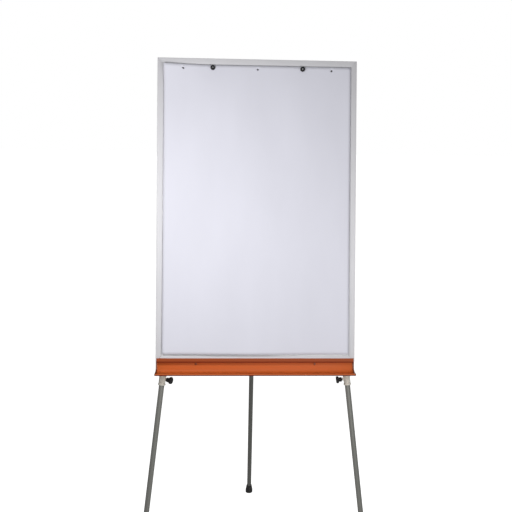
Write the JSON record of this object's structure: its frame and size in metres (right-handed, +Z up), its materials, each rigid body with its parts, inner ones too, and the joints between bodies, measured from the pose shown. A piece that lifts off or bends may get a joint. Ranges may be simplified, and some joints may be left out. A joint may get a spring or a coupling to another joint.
{
  "type": "flipchart easel",
  "caption": "Flipchart easel: framed board with a paper pad on thumb nuts, a pen tray, splayed telescopic front legs and a folding telescopic rear leg.",
  "frame": {"origin": "on the floor, under the middle of the bounding box of the opened easel", "axes": "+Z up; the user stands on the -Y side and the rear leg reaches towards +Y; +X is to the user's right"},
  "size_m": [0.8698, 0.8776, 1.9188],
  "materials": {
    "frame_alloy": "light grey satin coat",
    "key_alloy": "plain cast",
    "white_panel": "fibreboard with a smooth white lacquered face",
    "paper": "uncoated writing paper",
    "card": "grey-brown board",
    "tray_paint": "satin orange-brown coat with fine drawn lines",
    "tray_cap_plastic": "moulded, fine grain",
    "rail_alloy": "mill finish",
    "leg_paint": "grey satin metallic coat",
    "clamp_plastic": "light grey moulding",
    "black_plastic": "fine moulded grain",
    "zinc_steel": "zinc plated",
    "rubber": "matt"
  },
  "bodies": {
    "board": {"bracket_rivet_left": "zinc_steel", "bracket_rivet_right": "zinc_steel", "corner_key_lower_left": "key_alloy", "corner_key_lower_right": "key_alloy", "corner_key_upper_left": "key_alloy", "corner_key_upper_right": "key_alloy", "frame_bottom": "frame_alloy", "frame_left": "frame_alloy", "frame_right": "frame_alloy", "frame_top": "frame_alloy", "head_rail": "rail_alloy", "hinge_bracket": "leg_paint", "hinge_pin": "zinc_steel", "leg_stop_left": "black_plastic", "leg_stop_right": "black_plastic", "lower_rail": "rail_alloy", "pad_card": "card", "paper_pad": "paper", "peg_stud_left": "zinc_steel", "peg_stud_right": "zinc_steel", "pen_tray": "tray_paint", "pivot_rivet_left": "zinc_steel", "pivot_rivet_right": "zinc_steel", "rail_screw_lower_left": "zinc_steel", "rail_screw_lower_right": "zinc_steel", "rail_screw_upper_left": "zinc_steel", "rail_screw_upper_right": "zinc_steel", "tray_end_cap_left": "tray_cap_plastic", "tray_end_cap_right": "tray_cap_plastic", "tray_screw_left": "zinc_steel", "tray_screw_right": "zinc_steel", "writing_panel": "white_panel"},
    "front_left_upper_leg": {"front_left_outer_tube": "leg_paint", "front_left_collar": "clamp_plastic", "front_left_end_plug": "black_plastic"},
    "front_left_lower_leg": {"front_left_inner_tube": "leg_paint", "front_left_guide_plug": "black_plastic", "front_left_foot": "rubber"},
    "front_left_clamp": {"front_left_knob": "black_plastic", "front_left_clamp_stud": "zinc_steel"},
    "front_right_upper_leg": {"front_right_outer_tube": "leg_paint", "front_right_collar": "clamp_plastic", "front_right_end_plug": "black_plastic"},
    "front_right_lower_leg": {"front_right_inner_tube": "leg_paint", "front_right_guide_plug": "black_plastic", "front_right_foot": "rubber"},
    "front_right_clamp": {"front_right_knob": "black_plastic", "front_right_clamp_stud": "zinc_steel"},
    "rear_upper_leg": {"rear_outer_tube": "leg_paint", "rear_collar": "clamp_plastic", "rear_hinge_eye": "black_plastic"},
    "rear_lower_leg": {"rear_inner_tube": "leg_paint", "rear_guide_plug": "black_plastic", "rear_foot": "rubber"},
    "rear_clamp": {"rear_knob": "black_plastic", "rear_clamp_stud": "zinc_steel"},
    "thumb_nut_left": {"thumb_nut_left": "black_plastic"},
    "thumb_nut_right": {"thumb_nut_right": "black_plastic"}
  },
  "joints": [
    {"name": "front_left_leg_swing", "type": "hinge", "parent": "board", "child": "front_left_upper_leg", "pos_m": [-0.206, -0.09312, 1.86835], "axis": [0, 0.9848, -0.1736], "range_deg": [-6.4, 0]},
    {"name": "front_left_leg_slide", "type": "slide", "parent": "front_left_upper_leg", "child": "front_left_lower_leg", "axis": [0.1115, 0.1726, 0.9787], "range_m": [-0.05, 0.7]},
    {"name": "front_left_clamp_screw", "type": "hinge", "parent": "front_left_upper_leg", "child": "front_left_clamp", "pos_m": [-0.31027, -0.28781, 0.80847], "axis": [0.9007, -0.4337, -0.0261], "range_deg": [0, 270]},
    {"name": "front_right_leg_swing", "type": "hinge", "parent": "board", "child": "front_right_upper_leg", "pos_m": [0.206, -0.09312, 1.86835], "axis": [0, 0.9848, -0.1736], "range_deg": [0, 6.4]},
    {"name": "front_right_leg_slide", "type": "slide", "parent": "front_right_upper_leg", "child": "front_right_lower_leg", "axis": [-0.1115, 0.1726, 0.9787], "range_m": [-0.05, 0.7]},
    {"name": "front_right_clamp_screw", "type": "hinge", "parent": "front_right_upper_leg", "child": "front_right_clamp", "pos_m": [0.30858, -0.28027, 0.80694], "axis": [-0.9938, -0.0194, -0.1098], "range_deg": [0, 270]},
    {"name": "rear_leg_fold", "type": "hinge", "parent": "board", "child": "rear_upper_leg", "pos_m": [0, -0.07765, 1.86563], "axis": [1, 0, 0], "range_deg": [-25, 0]},
    {"name": "rear_leg_slide", "type": "slide", "parent": "rear_upper_leg", "child": "rear_lower_leg", "axis": [0, -0.2588, 0.9659], "range_m": [-0.05, 0.7]},
    {"name": "rear_clamp_screw", "type": "hinge", "parent": "rear_upper_leg", "child": "rear_clamp", "pos_m": [0, 0.23071, 0.78512], "axis": [0, 0.9659, 0.2588], "range_deg": [0, 270]},
    {"name": "thumb_nut_left_turn", "type": "hinge", "parent": "board", "child": "thumb_nut_left", "pos_m": [-0.156, -0.13641, 1.88716], "axis": [0, -0.9848, 0.1736], "continuous": true},
    {"name": "thumb_nut_right_turn", "type": "hinge", "parent": "board", "child": "thumb_nut_right", "pos_m": [0.156, -0.13641, 1.88716], "axis": [0, -0.9848, 0.1736], "continuous": true}
  ]
}
